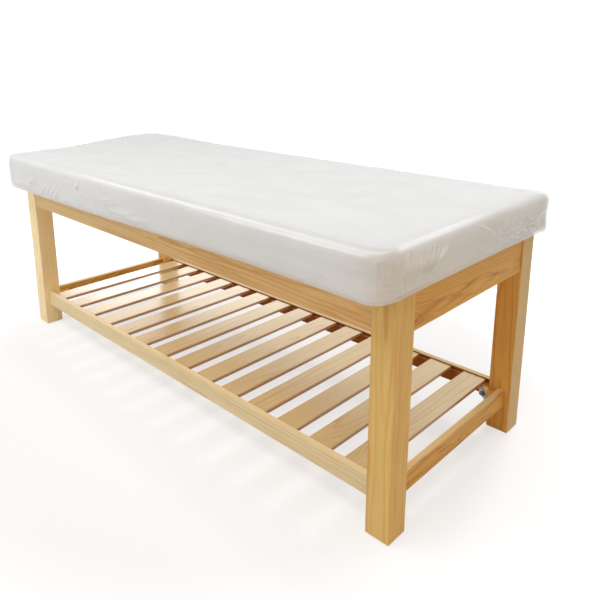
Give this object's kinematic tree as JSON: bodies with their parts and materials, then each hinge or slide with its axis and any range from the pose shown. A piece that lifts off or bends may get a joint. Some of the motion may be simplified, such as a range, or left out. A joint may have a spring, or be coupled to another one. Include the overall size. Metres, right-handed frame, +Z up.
{
  "type": "spa bed",
  "caption": "Fixed spa and massage bed: solid pine frame on square legs, open slatted storage shelf and a thick loose white mattress wrapped in clear film.",
  "frame": {"origin": "floor level, at the centre of the bed in plan", "axes": "+X runs along the bed's length to its right end, +Z is up, and -Y is the long side that faces the viewer in the picture"},
  "size_m": [1.9, 0.828, 0.749],
  "materials": {
    "pine": "planed pine, clear satin lacquer",
    "plywood": "sanded plywood, uncoated",
    "zinc_steel": "bright zinc plated",
    "foam": "open-cell polyurethane foam",
    "white_vinyl": "smooth white coated upholstery cloth",
    "clear_film": "thin clear polyethylene film, glossy and creased"
  },
  "bodies": {
    "bed_frame": {"leg_back_right": "pine", "leg_front_right": "pine", "leg_back_left": "pine", "leg_front_left": "pine", "top_rail_back": "pine", "top_rail_front": "pine", "top_rail_right": "pine", "top_rail_left": "pine", "shelf_rail_back": "pine", "shelf_rail_front": "pine", "shelf_rail_right": "pine", "shelf_rail_left": "pine", "shelf_slat_01": "pine", "shelf_slat_02": "pine", "shelf_slat_03": "pine", "shelf_slat_04": "pine", "shelf_slat_05": "pine", "shelf_slat_06": "pine", "shelf_slat_07": "pine", "shelf_slat_08": "pine", "shelf_slat_09": "pine", "shelf_slat_10": "pine", "shelf_slat_11": "pine", "shelf_slat_12": "pine", "shelf_slat_13": "pine", "shelf_slat_14": "pine", "deck_board": "plywood", "deck_bearer": "pine", "deck_ledger_back": "pine", "deck_ledger_front": "pine", "deck_ledger_right": "pine", "deck_ledger_left": "pine", "top_block_back_right": "pine", "top_block_front_right": "pine", "top_block_back_left": "pine", "top_block_front_left": "pine", "shelf_block_back_right": "pine", "shelf_block_front_right": "pine", "shelf_block_back_left": "pine", "shelf_block_front_left": "pine", "top_corner_plates": "zinc_steel", "top_corner_bolts": "zinc_steel", "top_corner_nuts": "zinc_steel", "shelf_corner_plates": "zinc_steel", "shelf_corner_bolts": "zinc_steel", "shelf_corner_nuts": "zinc_steel"},
    "mattress": {"mattress_foam": "foam", "mattress_cover": "white_vinyl", "film_wrap": "clear_film"}
  },
  "joints": [
    {"name": "mattress_lift", "type": "slide", "parent": "bed_frame", "child": "mattress", "axis": [0, 0, 1], "range_m": [0, 0.25]}
  ]
}
